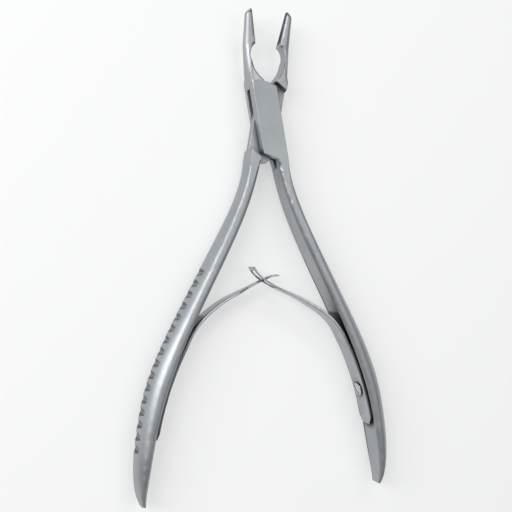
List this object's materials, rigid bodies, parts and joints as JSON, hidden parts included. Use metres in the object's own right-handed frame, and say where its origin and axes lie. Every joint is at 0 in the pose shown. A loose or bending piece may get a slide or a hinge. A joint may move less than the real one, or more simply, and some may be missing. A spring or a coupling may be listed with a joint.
{
  "type": "bone rongeur",
  "caption": "Box-lock bone rongeur with cupped cutting jaws, notched handles and interlocked leaf springs.",
  "frame": {"origin": "on the pivot axis, at the back face of the box lock", "axes": "+Z along the pivot axis, from the back of the lock to its front, the side that the jaws bend towards; +Y from the pivot to the jaw tips; +X to the side of the crossing member's jaw"},
  "size_m": [0.0862, 0.155, 0.0108],
  "materials": {
    "member_steel": "satin",
    "pin_steel": "satin",
    "spring_steel": "satin",
    "screw_steel": "polished"
  },
  "bodies": {
    "box_member": {"box_member": "member_steel", "joint_pin": "pin_steel", "spring_screw_right": "screw_steel"},
    "cross_member": {"cross_member": "member_steel", "spring_screw_left": "screw_steel"},
    "spring_right": {"spring_right": "spring_steel"},
    "spring_left": {"spring_left": "spring_steel"}
  },
  "joints": [
    {"name": "jaw_pivot", "type": "hinge", "parent": "box_member", "child": "cross_member", "pos_m": [0, 0, 0.0041], "axis": [0, 0, 1], "range_deg": [0, 20], "stiffness_Nm_per_rad": 2, "springref_deg": -8.59},
    {"name": "right_leaf_flex", "type": "hinge", "parent": "box_member", "child": "spring_right", "pos_m": [0.0307, -0.0795, 0.0041], "axis": [0, 0, 1], "range_deg": [-15, 0], "deforming": ["spring_right"]},
    {"name": "left_leaf_flex", "type": "hinge", "parent": "cross_member", "child": "spring_left", "pos_m": [-0.0307, -0.0795, 0.0041], "axis": [0, 0, 1], "range_deg": [0, 15], "deforming": ["spring_left"]}
  ],
  "couplings": [
    {"joint": "right_leaf_flex", "follows": "jaw_pivot", "ratio": -0.715},
    {"joint": "left_leaf_flex", "follows": "jaw_pivot", "ratio": 0.715}
  ]
}
